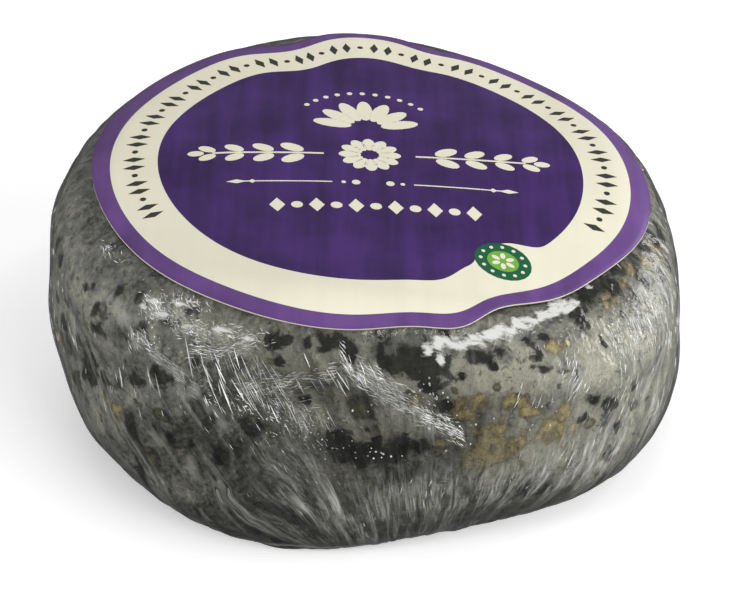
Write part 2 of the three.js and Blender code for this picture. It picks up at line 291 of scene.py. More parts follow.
class CheeseWheelSettings(bpy.types.PropertyGroup):
    radius: length("Radius", "Radius of the round wheel before it is made lopsided", 85 * MM)
    height: length("Height", "Height of the top at its middle", 71 * MM)
    shoulder: length("Shoulder radius", "Rounding between the top and the wall", 20 * MM)
    lean: length("Wall lean", "How far the wall leans in from its widest height to the shoulder", 0.9 * MM)
    widest: length("Widest height", "Height at which the wheel is widest", 32 * MM)
    base: length("Base radius", "Radius of the flat base", 71.5 * MM)
    dome: length("Dome drop", "How far the top falls from its middle to the shoulder", 3 * MM)
    slope: FloatProperty(name="Top slope", description="Fall of the top toward +X", default=0.084)
    steps: IntProperty(name="Steps", description="Steps round the wheel", default=660)


class CheeseRindSettings(bpy.types.PropertyGroup):
    inset: length("Inset", "Room that the rind leaves for the film", 0.5 * MM)
    crags: length("Crags", "Depth of the small crags of the rind", 0.3 * MM)
    pale: colour("Pale rind", "Dry pale bloom", "#b3b1a1")
    mid: colour("Grey rind", "Common grey mould", "#83847d")
    dark: colour("Dark rind", "Damp grey of thin bloom", "#46473f")
    mould: colour("Black mould", "Blackish olive mould", "#1b1b17")
    worn: colour("Worn patch", "Damp olive grey paste under worn bloom", "#3b3b34")
    ochre: colour("Ochre", "Ochre patches", "#b9aa78")
    brown: colour("Brown", "Brown rims of the ochre patches", "#595036")


class CheeseFilmSettings(bpy.types.PropertyGroup):
    folds: length("Fold height", "Height of the long soft folds of the film", 0.35 * MM)
    roughness: FloatProperty(name="Roughness", description="Roughness of the film's gloss", default=0.07)
    # Tint of the milky haze, and of the painted highlights on pleats and crinkles
    haze_and_highlight: colour("Haze", "Milky look of stretched and crumpled film", "#cfd0c8")
    # Colour of the painted glints
    glint: colour("Glint", "Bright edge of a folded film", "#f4f5f3")
    # Colour of the painted glare
    glare: colour("Glare", "Glare of the taut film on the shoulder", "#cfcfcb")
    # Colour of the painted shade on the dark side of each pleat
    shade: colour("Shade", "Dark side of a pleat", "#2a2b26")
    bubble: length("Bubble", "Usual width of an air bubble", 0.6 * MM)


class CheeseLabelSettings(bpy.types.PropertyGroup):
    radius: length("Radius", "Radius of the label without its dips", 73.8 * MM)
    inner: length("Border's inner radius", "Radius of the border's inner ring without its dips", 68.4 * MM)
    field: length("Field radius", "Radius of the field without its dips", 55.9 * MM)
    gap: length("Gap", "Room between the wheel and the label", 0.3 * MM)
    thickness: length("Thickness", "Thickness of the label", 0.4 * MM)
    notch: length("Notch", "How far the field draws back round the seal", 6.0 * MM)
    wrinkle: length("Wrinkle", "Height of the paper's soft wrinkles", 0.06 * MM)
    field_colour: colour("Field colour", "Deep violet field", "#3a2159")
    border_colour: colour("Border colour", "Lighter violet border", "#5e4179")
    cream_colour: colour("Cream", "Cream paper", "#dad6c1")
    seal_colour: colour("Seal", "Green of the round seal", "#17573a")
    leaf_colour: colour("Seal's middle", "Light green of the seal's middle", "#6aa13f")
    ink_colour: colour("Ink", "Dark ink of the ornaments on the band", "#33332f")


class CheeseStageSettings(bpy.types.PropertyGroup):
    floor: length("Floor", "Half width of the floor", 6.0)
    key: power("Key light", "Power of the long softbox at the front right", 26.0)
    strip: power("Strip light", "Power of the narrow strip above the front", 2.0)
    top: power("Top light", "Power of the softbox above", 5.5)
    fill: power("Fill light", "Power of the softbox at the left", 13.0)
    side: power("Side light", "Power of the softbox at the far right", 9.0)
    world: FloatProperty(name="Room light", description="Strength of the even room light", default=0.34)


# Shapes shared by the pieces

def wave_sum(waves, angle):
    parts = (size * np.cos(lobes * (angle - math.radians(toward))) for lobes, size, toward in waves)
    return sum(parts) * MM


def turn_between(angle, degrees):
    return (np.degrees(angle) - degrees + 180) % 360 - 180


def side_relief(wheel, angle, height):
    """How far the side stands out from the smooth wheel."""
    height_mm = height / MM
    relief = 0.0 * angle
    for depth, around, upward, shift in LUMPS:
        relief = relief + depth * np.sin(around * angle + upward * height_mm + shift)
    for toward, middle, reach, depth in HOLLOWS:
        across = np.radians(turn_between(angle, toward)) * wheel.radius / MM
        relief = relief - depth * np.exp(-(across ** 2 + (height_mm - middle) ** 2) / reach ** 2)
    fade_low = np.clip(height_mm / RELIEF_FOOT_MM, 0, 1)
    fade_high = np.clip((RELIEF_TOP_MM - height_mm) / RELIEF_FADE_MM, 0, 1)
    return relief * (fade_low * fade_high) * MM


def shape_wheel(wheel, angle, radius, height):
    """Places of points of the round wheel on the lopsided one."""
    side = wave_sum(SIDE_WAVES, angle)
    foot = wave_sum(BASE_WAVES, angle)
    out = radius * (1 + side / wheel.radius)
    low = np.clip((wheel.radius - radius) / (wheel.radius - wheel.base), 0, 1)
    below = (wheel.radius + side) + (wheel.base + foot - wheel.radius - side) * low
    below = below * np.minimum(radius / wheel.base, 1)
    out = np.where(height < wheel.widest, below, out)
    lean = np.clip(height / wheel.widest, 0, 1)
    lean = lean * lean * (3 - 2 * lean)
    rim = wave_sum(RIM_WAVES, angle) * (out / wheel.radius) ** 3 * (height / wheel.height) ** 2
    wide = out + side_relief(wheel, angle, height)
    x = wide * np.cos(angle)
    y = wide * np.sin(angle)
    return np.stack([x, y, height - x * wheel.slope * lean + rim], axis=-1)


def top_height(wheel, radius):
    """Height of the round wheel's top at one radius."""
    flat = wheel.radius - wheel.lean - wheel.shoulder
    out = np.minimum(radius / flat, 1)
    bend = np.clip(radius - flat, 0, wheel.shoulder)
    drop = wheel.shoulder - np.sqrt(wheel.shoulder ** 2 - bend ** 2)
    return wheel.height - wheel.dome * out ** DOME_POWER - drop


def on_top(wheel, x, y):
    """Height of the wheel's real top at places seen from above."""
    angle = np.arctan2(y, x)
    radius = np.hypot(x, y) / (1 + wave_sum(SIDE_WAVES, angle) / wheel.radius)
    return shape_wheel(wheel, angle, radius, top_height(wheel, radius))[..., 2]


def wheel_profile(wheel, top_rows, shoulder_rows, wall_rows, foot_rows, base_rows):
    """The round wheel's profile as (radius, height), from the top's middle to the base's middle."""
    flat = wheel.radius - wheel.lean - wheel.shoulder
    crown = wheel.height - wheel.dome
    points = []
    for i in range(top_rows):
        out = math.sqrt(i / top_rows)
        points.append((flat * out, wheel.height - wheel.dome * out ** DOME_POWER))
    for i in range(shoulder_rows + 1):
        turn = i / shoulder_rows * math.pi / 2
        radius = flat + wheel.shoulder * math.sin(turn)
        points.append((radius, crown - wheel.shoulder * (1 - math.cos(turn))))
    wall_top = crown - wheel.shoulder
    for i in range(1, wall_rows + 1):
        down = i / wall_rows
        radius = wheel.radius - wheel.lean * (1 - down) ** 2
        points.append((radius, wall_top + (wheel.widest - wall_top) * down))
    for i in range(1, foot_rows + 1):
        turn = i / foot_rows * math.pi / 2
        inward = 1 - max(math.cos(turn), 0) ** FOOT_POWER
        radius = wheel.radius + (wheel.base - wheel.radius) * inward
        points.append((radius, wheel.widest * (1 - math.sin(turn))))
    for i in range(1, base_rows + 1):
        points.append((wheel.base * (1 - i / base_rows), 0.0))
    return points


def unit(vectors):
    """Vectors of length 1; those without a length, at the poles, stay at nothing."""
    return vectors / np.maximum(np.linalg.norm(vectors, axis=-1, keepdims=True), 1e-12)


class Skin:
    """The wheel's surface by angle round it and by run, the way down from the top's middle."""

    def __init__(self, wheel):
        self.wheel = wheel
        self.profile = np.array(wheel_profile(wheel, 14, 26, 26, 40, 8))
        self.runs = np.concatenate([[0], np.cumsum(np.hypot(*np.diff(self.profile, axis=0).T))])

    def place(self, angle, run):
        radius = np.interp(run, self.runs, self.profile[:, 0])
        height = np.interp(run, self.runs, self.profile[:, 1])
        return shape_wheel(self.wheel, angle, radius, height)

    def frame(self, angle, run):
        """Place, and the unit directions toward +angle, downward and outward."""
        place = self.place(angle, run)
        round_way = self.place(angle + 0.004, run) - place
        down_way = self.place(angle, run + 0.3 * MM) - place
        round_way = unit(round_way)
        down_way = unit(down_way)
        return place, round_way, down_way, unit(np.cross(down_way, round_way))

    def run_at(self, angle_deg, height_mm):
        """Run at which the lopsided side has one height at one angle."""
        angle = np.full(len(self.runs), math.radians(angle_deg))
        heights = shape_wheel(self.wheel, angle, self.profile[:, 0], self.profile[:, 1])[:, 2]
        side = self.profile[:, 0] > 0.9 * self.wheel.base
        return float(np.interp(-height_mm * MM, -heights[side], self.runs[side]))


# Modelling helpers

def nothing_selected():
    if bpy.context.object and bpy.context.object.mode != "OBJECT":
        bpy.ops.object.mode_set(mode="OBJECT")
    bpy.ops.object.select_all(action="DESELECT")


def turned(name, profile, steps):
    """Extrudes a profile of (radius, height) point by point and spins it round +Z into a closed shell."""
    nothing_selected()
    bpy.ops.mesh.primitive_plane_add(size=1 * MM)
    piece = bpy.context.active_object
    piece.name = piece.data.name = name
    bpy.ops.object.mode_set(mode="EDIT")
    edit = bmesh.from_edit_mesh(piece.data)
    edit.verts.ensure_lookup_table()
    bmesh.ops.delete(edit, geom=edit.verts[1:], context="VERTS")
    edit.verts.ensure_lookup_table()
    edit.verts[0].co = (profile[0][0], 0, profile[0][1])
    edit.verts[0].select_set(True)
    bmesh.update_edit_mesh(piece.data)
    for (radius, height), (next_radius, next_height) in zip(profile, profile[1:]):
        step = (next_radius - radius, 0, next_height - height)
        bpy.ops.mesh.extrude_region_move(TRANSFORM_OT_translate={"value": step})
    bpy.ops.mesh.select_all(action="SELECT")
    bpy.ops.mesh.spin(steps=steps, angle=2 * math.pi, center=(0, 0, 0), axis=(0, 0, 1))
    bpy.ops.mesh.select_all(action="SELECT")
    bpy.ops.mesh.remove_doubles(threshold=0.01 * MM)
    bpy.ops.mesh.normals_make_consistent(inside=False)
    bpy.ops.object.mode_set(mode="OBJECT")
    bpy.ops.object.shade_smooth()
    return piece


def get_places(piece):
    flat = np.empty(len(piece.data.vertices) * 3)
    piece.data.vertices.foreach_get("co", flat)
    return flat.reshape(-1, 3)


def set_places(piece, places):
    piece.data.vertices.foreach_set("co", places.reshape(-1))
    piece.data.update()


def store(piece, name, values):
    """Keeps one number or one vector for each vertex for the materials to read."""
    kind, field = ("FLOAT", "value") if values.ndim == 1 else ("FLOAT_VECTOR", "vector")
    kept = piece.data.attributes.new(name, kind, "POINT")
    kept.data.foreach_set(field, values.astype(np.float32).reshape(-1))


def read(piece, name):
    values = np.empty(len(piece.data.vertices), dtype=np.float32)
    piece.data.attributes[name].data.foreach_get("value", values)
    return values.astype(float)


def copy_piece(source, name):
    """A copy with its own mesh and no material."""
    piece = source.copy()
    piece.data = source.data.copy()
    piece.name = piece.data.name = name
    piece.data.materials.clear()
    bpy.context.collection.objects.link(piece)
    return piece


def ripple(places, size_mm, seed, waves=14):
    """Smooth noise between about -1 and 1 with bumps of one size: a sum of seeded plane waves."""
    draw = np.random.default_rng(seed)
    total = np.zeros(len(places))
    for _ in range(waves):
        direction = draw.normal(size=3)
        direction /= np.linalg.norm(direction)
        pace = 2 * math.pi / (size_mm * MM * draw.uniform(0.7, 1.6))
        total += np.sin(places @ direction * pace + draw.uniform(0, 2 * math.pi))
    return total / math.sqrt(waves)


def scattered(count, seed, low_angle, high_angle, size):
    """Marks for the sides that the photograph doesn't show."""
    draw = np.random.default_rng(seed)
    marks = []
    for _ in range(count):
        half = draw.uniform(*size)
        marks.append((
            draw.uniform(low_angle, high_angle), draw.triangular(8, 55, 66),
            half * draw.uniform(0.8, 1.5), half * draw.uniform(0.6, 1.2)))
    return tuple(marks)


class Shell:
    """A finely turned wheel with the angle and run of each vertex."""

    def __init__(self, name, skin, like=None):
        self.skin = skin
        if like:
            self.piece = copy_piece(like, name)
            self.angle = read(self.piece, "angle")
            self.run = read(self.piece, "run")
        else:
            self.piece = turned(name, [tuple(point) for point in skin.profile], skin.wheel.steps)
            flat = get_places(self.piece)
            self.angle = np.arctan2(flat[:, 1], flat[:, 0])
            radius = np.hypot(flat[:, 0], flat[:, 1])
            gaps = (radius[:, None] - skin.profile[:, 0]) ** 2
            gaps += (flat[:, 2][:, None] - skin.profile[:, 1]) ** 2
            self.run = skin.runs[np.argmin(gaps, axis=1)]
            store(self.piece, "angle", self.angle)
            store(self.piece, "run", self.run)
        self.places, _, _, self.outward = skin.frame(self.angle, self.run)

    def distances(self, toward, middle, half_width, half_height, sway=0.0, swing=0.0):
        """Distance from a mark's middle in its own half widths."""
        out = np.hypot(self.places[:, 0], self.places[:, 1])
        across = np.radians(turn_between(self.angle, toward)) * out / MM
        along = (self.run - self.skin.run_at(toward, middle)) / MM
        return np.hypot(across / half_width + sway, along / half_height + swing)

    def field(self, marks, seed, ragged=0.35):
        """1 in the middle of a mark, 0 at its edge and down to -1 away from it, with swayed edges."""
        sway = ragged * ripple(self.places, 4.5, seed)
        swing = ragged * ripple(self.places, 4.5, seed + 1)
        field = np.full(len(self.angle), -1.0)
        for mark in marks:
            field = np.maximum(field, 1 - self.distances(*mark, sway, swing))
        return field

    def drift(self, marks):
        """Sum of soft drifts, each with its own strength."""
        total = np.zeros(len(self.angle))
        for toward, middle, half_width, half_height, strength in marks:
            half_width_mm = half_width * math.radians(1) * self.skin.wheel.radius / MM
            total += strength * np.exp(-self.distances(toward, middle, half_width_mm, half_height) ** 2)
        return total

    def move_out(self, lift, lowest):
        moved = self.places + self.outward * lift[:, None]
        moved[:, 2] = np.maximum(moved[:, 2], lowest)
        set_places(self.piece, moved)


def dress(piece, node=None):
    """Ties a finished piece to the frame."""
    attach(piece, BODY)
    if node:
        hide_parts(node)


# Material helpers

def add(tree, kind, values=None, links=None, output=0, **settings):
    """Adds one node with its settings, socket values and links, and gives back one of its outputs."""
    made = tree.nodes.new(kind)
    for name, value in settings.items():
        setattr(made, name, value)
    for socket, value in (values or {}).items():
        made.inputs[socket].default_value = value
    for socket, source in (links or {}).items():
        tree.links.new(source, made.inputs[socket])
    return made.outputs[output] if made.outputs else made


def attribute(tree, name, output="Fac"):
    return add(tree, "ShaderNodeAttribute", output=output, attribute_name=name)


def object_places(tree):
    return add(tree, "ShaderNodeTexCoord", output="Object")


def noise(tree, coords, size_mm, detail=3.0, roughness=0.55, distortion=0.0):
    """Cloudy noise whose pattern repeats about once in the given size."""
    return add(
        tree, "ShaderNodeTexNoise",
        {"Scale": 1 / (size_mm * MM), "Detail": detail, "Roughness": roughness, "Distortion": distortion},
        {"Vector": coords})


def between(tree, source, low, high, bottom=0.0, top=1.0):
    """Maps low..high of a value to bottom..top and holds it there."""
    return add(tree, "ShaderNodeMapRange", {1: low, 2: high, 3: bottom, 4: top}, {0: source})


def times(tree, first, second):
    return add(tree, "ShaderNodeMath", None, {0: first, 1: second}, operation="MULTIPLY")


def scaled_sum(tree, source, factor, rest):
    """source * factor + rest."""
    return add(tree, "ShaderNodeMath", {1: factor}, {0: source, 2: rest}, operation="MULTIPLY_ADD")


def blend(tree, share, first, second, **settings):
    """Mixes two colours, each a linked colour or a fixed one."""
    values = {}
    links = {0: share}
    for socket, source in ((6, first), (7, second)):
        if isinstance(source, bpy.types.NodeSocket):
            links[socket] = source
        else:
            values[socket] = source
    return add(tree, "ShaderNodeMix", values, links, output=2, data_type="RGBA", **settings)


def new_material(name):
    material = bpy.data.materials.new(name)
    material.use_nodes = True
    material.node_tree.nodes.clear()
    return material, material.node_tree


def finish_material(tree, shader):
    add(tree, "ShaderNodeOutputMaterial", None, {"Surface": shader})


def rind_material(rind):
    """Natural mould rind: grey bloom on damp paste, black colonies and ochre patches, all matt."""
    material, tree = new_material("natural_mould_rind")
    coords = object_places(tree)
    # Clouds of bloom 8 mm across, mottles of 2.4 mm and grains of 0.7 mm
    cloud = noise(tree, coords, 8, 4.0, 0.6)
    mottle = noise(tree, coords, 2.4, 4.0, 0.6, 0.6)
    grain = noise(tree, coords, 0.7, 3.0, 0.7)
    # Lightness of the rind's colour: the drifts painted on the wheel, broken up by the clouds and mottles
    drift = attribute(tree, "drift")
    bloom = scaled_sum(tree, cloud, 3.4, drift)
    bloom = scaled_sum(tree, mottle, 2.2, bloom)
    # Drips 2.5 mm wide and 8 mm long
    upright = add(tree, "ShaderNodeMapping", {"Scale": (1, 1, 0.3)}, {"Vector": coords})
    drip = noise(tree, upright, 2.5, 3.0, 0.6, 0.5)
    bloom = scaled_sum(tree, drip, 1.6, bloom)
    ramp = tree.nodes.new("ShaderNodeValToRGB")
    tree.links.new(between(tree, bloom, 2.3, 4.9), ramp.inputs[0])
    tones = ramp.color_ramp.elements
    tones[0].position, tones[0].color = 0.1, rind.dark
    tones[1].position, tones[1].color = 0.85, rind.pale
    tones.new(0.45).color = rind.mid
    # Damp patches where the bloom is worn off
    patch = noise(tree, coords, 4.2, 5.0, 0.65, 0.8)
    patch = scaled_sum(tree, drift, -0.08, patch)
    worn = blend(tree, between(tree, patch, 0.54, 0.64, 0.0, 0.8), ramp.outputs[0], rind.worn)
    # Ochre patches with ragged brown rims
    ochre = scaled_sum(tree, mottle, 2.2, attribute(tree, "ochre"))
    ochre = scaled_sum(tree, grain, 0.8, ochre)
    ochre_tone = blend(tree, between(tree, ochre, 1.5, 2.2), rind.brown, rind.ochre)
    tinted = blend(tree, between(tree, ochre, 1.28, 1.72, 0.0, 0.85), worn, ochre_tone)
    # Fine dark specks, thickest where the bloom is thin
    speck = noise(tree, coords, 1.7, 3.0, 0.6, 0.4)
    speck = scaled_sum(tree, cloud, 0.5, speck)
    specked = blend(tree, between(tree, speck, 0.86, 1.0, 0.0, 0.75), tinted, rind.mould)
    # Black colonies: the painted field and two sizes of noise make a ragged edge with stray dots
    mould = scaled_sum(tree, mottle, 2.4, attribute(tree, "mould"))
    mould = scaled_sum(tree, grain, 1.1, mould)
    mould_tone = blend(tree, between(tree, mottle, 0.46, 0.7), rind.mould, rind.worn)
    moulded = blend(tree, between(tree, mould, 1.48, 1.98, 0.0, 0.97), specked, mould_tone)
    # Ring spots: dark olive discs, darkest at the rim
    ring = scaled_sum(tree, mottle, 0.3, attribute(tree, "ring"))
    ring_ramp = tree.nodes.new("ShaderNodeValToRGB")
    tree.links.new(ring, ring_ramp.inputs[0])
    shades = ring_ramp.color_ramp.elements
    shades[0].position, shades[0].color = 0.05, (1, 1, 1, 1)
    shades[1].position, shades[1].color = 0.8, (0.5, 0.49, 0.4, 1)
    shades.new(0.32).color = (0.3, 0.29, 0.24, 1)
    ringed = add(
        tree, "ShaderNodeMix", {0: 1.0}, {6: moulded, 7: ring_ramp.outputs[0]},
        output=2, data_type="RGBA", blend_type="MULTIPLY")
    # Grains lighten and darken the whole by a little
    speckled = add(
        tree, "ShaderNodeVectorMath", None,
        {0: ringed, 1: between(tree, grain, 0.3, 0.7, 0.78, 1.2)}, operation="MULTIPLY")
    relief = scaled_sum(tree, grain, 0.5, mottle)
    bump = add(tree, "ShaderNodeBump", {"Strength": 0.55, "Distance": 0.6 * MM}, {"Height": relief})
    shader = add(
        tree, "ShaderNodeBsdfPrincipled", {"Roughness": 0.62, "Specular IOR Level": 0.25},
        {"Base Color": speckled, "Normal": bump})
    finish_material(tree, shader)
    return material


def film_material(film):
    """Stretched polyethylene film: clear and glossy where flat, milky where drawn or crumpled."""
    material, tree = new_material("clear_cling_film")
    coords = object_places(tree)
    # The pull runs down the side; it sways by some 1.5 mm so that no line is straight
    sway = add(
        tree, "ShaderNodeTexNoise", {"Scale": 1 / (11 * MM), "Detail": 2.0}, {"Vector": coords}, output=1)
    pull = add(
        tree, "ShaderNodeVectorMath", {1: (4 * MM,) * 3}, {0: sway, 2: attribute(tree, "pull", "Vector")},
        operation="MULTIPLY_ADD")
    # Stretch lines 0.6 mm wide that run some 6 mm along the pull, drawn coarser than real ones so that
    # they show, in patches 5 mm wide and 15 mm long
    thin = add(tree, "ShaderNodeMapping", {"Scale": (1, 1, 0.1)}, {"Vector": pull})
    lines = noise(tree, thin, 0.6, 2.0, 0.5, 0.3)
    broad = add(tree, "ShaderNodeMapping", {"Scale": (1, 1, 0.33)}, {"Vector": pull})
    patches = noise(tree, broad, 5, 3.0, 0.6, 0.5)
    # Pleats: contour lines of a long noise, each a painted shade line beside a painted highlight line
    long = add(tree, "ShaderNodeMapping", {"Scale": (1, 1, 0.09)}, {"Vector": pull})
    bands = noise(tree, long, 6.5, 2.0, 0.4)
    pleat = add(tree, "ShaderNodeMath", {1: 4.0}, {0: bands}, operation="MULTIPLY")
    pleat = add(tree, "ShaderNodeMath", None, {0: pleat}, operation="FRACT")
    # Slack waves 5 mm long, and creased facets of 2 mm where the film is crumpled
    slack = noise(tree, coords, 5, 2.0)
    facets = noise(tree, coords, 2.0, 2.0, 0.5, 1.0)
    crumple = attribute(tree, "crumple")
    fibre = attribute(tree, "fibre")
    relief = scaled_sum(tree, bands, 0.9, times(tree, facets, crumple))
    relief = scaled_sum(tree, times(tree, lines, fibre), 0.45, relief)
    relief = scaled_sum(tree, slack, 1.8, relief)
    bump = add(tree, "ShaderNodeBump", {"Strength": 0.85, "Distance": 0.55 * MM}, {"Height": relief})
    soft = add(tree, "ShaderNodeBump", {"Strength": 0.3, "Distance": 0.4 * MM}, {"Height": relief})
    # Milky share, from stretch lines in patches, ribbons, the painted highlight on the light side of
    # pleats, and crinkles that are partly a painted highlight
    patchy = between(tree, patches, 0.42, 0.6, 0.12, 1.0)
    # Ripples of 0.6 mm across the pull break the lines up
    across = add(tree, "ShaderNodeMapping", {"Scale": (0.16, 0.16, 1)}, {"Vector": pull})
    ripples = noise(tree, across, 0.6, 2.0, 0.5, 0.4)
    strokes = add(
        tree, "ShaderNodeMath", None,
        {0: between(tree, lines, 0.4, 0.66, 0.14, 0.68), 1: between(tree, ripples, 0.5, 0.7, 0.0, 0.5)},
        operation="MAXIMUM")
    haze_and_highlight = times(tree, times(tree, strokes, patchy), fibre)
    # Smooth ribbons: the painted paths with edges torn by the same patches
    ribbon = scaled_sum(tree, patches, 0.9, attribute(tree, "veil"))
    ribbon = between(tree, ribbon, 0.62, 0.86, 0.0, 0.28)
    haze_and_highlight = add(tree, "ShaderNodeMath", None, {0: haze_and_highlight, 1: ribbon}, operation="ADD")
    pleats = times(tree, between(tree, patches, 0.36, 0.56), attribute(tree, "pleats"))
    # Painted highlight along the light side of each pleat
    light = times(tree, between(tree, pleat, 0.82, 1.0, 0.0, 0.36), pleats)
    haze_and_highlight = add(tree, "ShaderNodeMath", None, {0: haze_and_highlight, 1: light}, operation="ADD")
    # Crinkles: bright ridge lines on crumpled film, partly its milky haze and partly a painted highlight
    ridge = add(
        tree, "ShaderNodeTexNoise",
        {"Scale": 1 / (3.0 * MM), "Detail": 2.0, "Roughness": 0.6, "Distortion": 1.0},
        {"Vector": coords}, noise_type="RIDGED_MULTIFRACTAL")
    crinkle_haze_and_highlight = times(tree, between(tree, ridge, 0.75, 1.3, 0.0, 0.8), crumple)
    haze_and_highlight = add(tree, "ShaderNodeMath", None, {0: haze_and_highlight, 1: crinkle_haze_and_highlight}, operation="ADD")
    # Painted glare: the painted path with edges torn by folds of 2 mm
    level = add(tree, "ShaderNodeMapping", {"Scale": (0.4, 0.4, 1)}, {"Vector": pull})
    torn = noise(tree, level, 2.0, 4.0, 0.65, 0.8)
    glare = scaled_sum(tree, torn, 2.0, attribute(tree, "glare"))
    glare = between(tree, glare, 1.14, 1.56)
    gloss = add(tree, "ShaderNodeBsdfGlossy", {"Roughness": film.roughness}, {"Normal": bump})
    shine = add(tree, "ShaderNodeFresnel", {"IOR": 1.55}, {"Normal": bump})
    clear = add(tree, "ShaderNodeMixShader", None, {
        0: shine, 1: add(tree, "ShaderNodeBsdfTransparent"), 2: gloss})
    # Painted shade along the dark side of each pleat, which also darkens the film's cover
    dark = times(tree, between(tree, pleat, 0.02, 0.16, 1.0, 0.0), pleats)
    tint = blend(tree, dark, blend(tree, glare, film.haze_and_highlight, film.glare), film.shade)
    milky = add(
        tree, "ShaderNodeBsdfPrincipled",
        {"Roughness": 0.3, "Specular IOR Level": 0.6}, {"Base Color": tint, "Normal": soft})
    cover = add(tree, "ShaderNodeMath", {1: 0.92}, {0: glare, 2: haze_and_highlight}, operation="MULTIPLY_ADD")
    cover = scaled_sum(tree, dark, 0.6, cover)
    whole = add(tree, "ShaderNodeMixShader", None, {
        0: add(tree, "ShaderNodeClamp", {2: 0.95}, {0: cover}), 1: clear, 2: milky})
    finish_material(tree, whole)
    return material


def painted_glint_material(film):
    """Painted glint on a folded edge of the film: white with a little glow, standing in for the light it
    throws back; the thinner the fold, the clearer it is.
    """
    material, tree = new_material("painted_glint_film_fold")
    # Painted highlight: a white fold that also glows a little, though no lamp is there
    fold = add(
        tree, "ShaderNodeBsdfPrincipled",
        {"Base Color": film.glint, "Roughness": 0.25, "Specular IOR Level": 0.7,
         "Emission Color": film.glint, "Emission Strength": 0.22})
    whole = add(tree, "ShaderNodeMixShader", None, {
        0: attribute(tree, "bright"), 1: add(tree, "ShaderNodeBsdfTransparent"), 2: fold})
    finish_material(tree, whole)
    return material


def printed_paper(name, tint, roughness=0.5, mottle=0.16):
    """Offset-printed label paper: an even ink with faint press streaks and a little tooth."""
    material, tree = new_material(name)
    coords = object_places(tree)
    # Press streaks some 5 mm wide and 70 mm long across the label, and clouds of 18 mm
    stretched = add(tree, "ShaderNodeMapping", {"Scale": (1, 0.07, 0.3)}, {"Vector": coords})
    streaks = noise(tree, stretched, 5)
    clouds = noise(tree, coords, 18, 3.0)
    tooth = noise(tree, coords, 0.5, 2.0)
    both = add(tree, "ShaderNodeMath", None, {0: streaks, 1: clouds}, operation="ADD")
    shade = between(tree, both, 0.75, 1.25, 1 - mottle, 1 + mottle)
    inked = add(tree, "ShaderNodeVectorMath", {0: tint[:3]}, {1: shade}, operation="MULTIPLY")
    relief = scaled_sum(tree, tooth, 0.12, streaks)
    bump = add(tree, "ShaderNodeBump", {"Strength": 0.25, "Distance": 0.3 * MM}, {"Height": relief})
    shader = add(
        tree, "ShaderNodeBsdfPrincipled", {"Roughness": roughness, "Specular IOR Level": 0.2},
        {"Base Color": inked, "Normal": bump})
    finish_material(tree, shader)
    return material


def floor_material():
    """Plain matt white board."""
    material, tree = new_material("matt_white_board")
    shader = add(
        tree, "ShaderNodeBsdfPrincipled",
        {"Base Color": (0.9, 0.9, 0.9, 1), "Roughness": 0.9, "Specular IOR Level": 0.1,
         "Emission Color": (1, 1, 1, 1), "Emission Strength": 0.3})
    finish_material(tree, shader)
    return material


# Pieces

class CHEESE_OT_rind(bpy.types.Operator):
    """Model the cheese with its mould-covered rind"""
    bl_idname = "cheese.rind"
    bl_label = "Rind"

    def execute(self, context):
        rind = context.scene.cheese_rind
        shell = Shell("rind", Skin(context.scene.cheese_wheel))
        mould = shell.field(BLACK_MOULD + scattered(150, 5, -8, 210, (0.8, 3.6)), 31)
        ochre = shell.field(OCHRE_MOULD + scattered(30, 8, -5, 205, (1.4, 4.2)), 41)
        ring = shell.field(RING_MOULD, 51, ragged=0.1)
        # Crags 9 and 3 mm across; mould and ochre stand out by a quarter of a millimetre
        crags = ripple(shell.places, 9, 1) * 0.35 + ripple(shell.places, 3.2, 2) * 0.25
        lift = rind.crags * (crags - 0.6) - rind.inset
        lift += 0.3 * MM * np.clip(mould, 0, 1) + 0.25 * MM * np.clip(ochre, 0, 1)
        shell.move_out(np.minimum(lift, -0.15 * MM), BASE_HEIGHT + 0.3 * MM)
        store(shell.piece, "mould", mould)
        store(shell.piece, "ochre", ochre)
        store(shell.piece, "ring", ring)
        store(shell.piece, "drift", shell.drift(DRIFTS))
        shell.piece.data.materials.append(rind_material(rind))
        dress(shell.piece, WHEEL_NODE)
        return {"FINISHED"}


class CHEESE_OT_film(bpy.types.Operator):
    """Model the clear film that is drawn tight round the cheese"""
    bl_idname = "cheese.film"
    bl_label = "Film"

    def execute(self, context):
        wheel = context.scene.cheese_wheel
        film = context.scene.cheese_film
        shell = Shell("film", Skin(wheel), like=bpy.data.objects.get("rind"))
        # The pull as a place on a plain drum: lines of the film's pattern run along its third axis
        down = np.clip((shell.run - wheel.radius) / wheel.radius, 0, 1.2)
        turn = PULL_TURN * np.sin(shell.angle - math.radians(PULL_FRONT_DEG))
        turn -= GATHER_TURN * np.exp(-(turn_between(shell.angle, GATHER_DEG) / GATHER_WIDTH_DEG) ** 2)
        toward = shell.angle + turn * down
        pull = np.stack(
            [wheel.radius * np.cos(toward), wheel.radius * np.sin(toward), shell.run], axis=-1)
        # Long folds 7 and 3 mm wide begin where the top bends over into the side
        side = np.clip((shell.run - 0.8 * wheel.radius) / (0.25 * wheel.radius), 0, 1)
        stretched = pull * (1, 1, 0.12)
        folds = ripple(stretched, 7, 11) * 0.6 + ripple(stretched, 3.0, 12) * 0.4
        soft = ripple(shell.places, 11, 13)
        lift = film.folds * side * (0.5 * np.clip(folds + 0.3, -0.4, 2) + 0.3 * soft)
        shell.move_out(lift, BASE_HEIGHT)
        store(shell.piece, "pull", pull)
        store(shell.piece, "fibre", np.clip(0.03 * side + shell.drift(FIBRES), 0, 1))
        store(shell.piece, "veil", np.clip(0.03 * side + shell.drift(VEILS), 0, 0.6))
        store(shell.piece, "pleats", np.clip(shell.drift(PLEATS), 0, 1))
        store(shell.piece, "glare", shell.field(GLARE, 61, ragged=0.25))
        crumples = [mark + (1.0,) for mark in CRUMPLES]
        store(shell.piece, "crumple", np.clip(shell.drift(crumples), 0, 1))
        shell.piece.data.materials.append(film_material(film))
        dress(shell.piece, WHEEL_NODE)
        return {"FINISHED"}


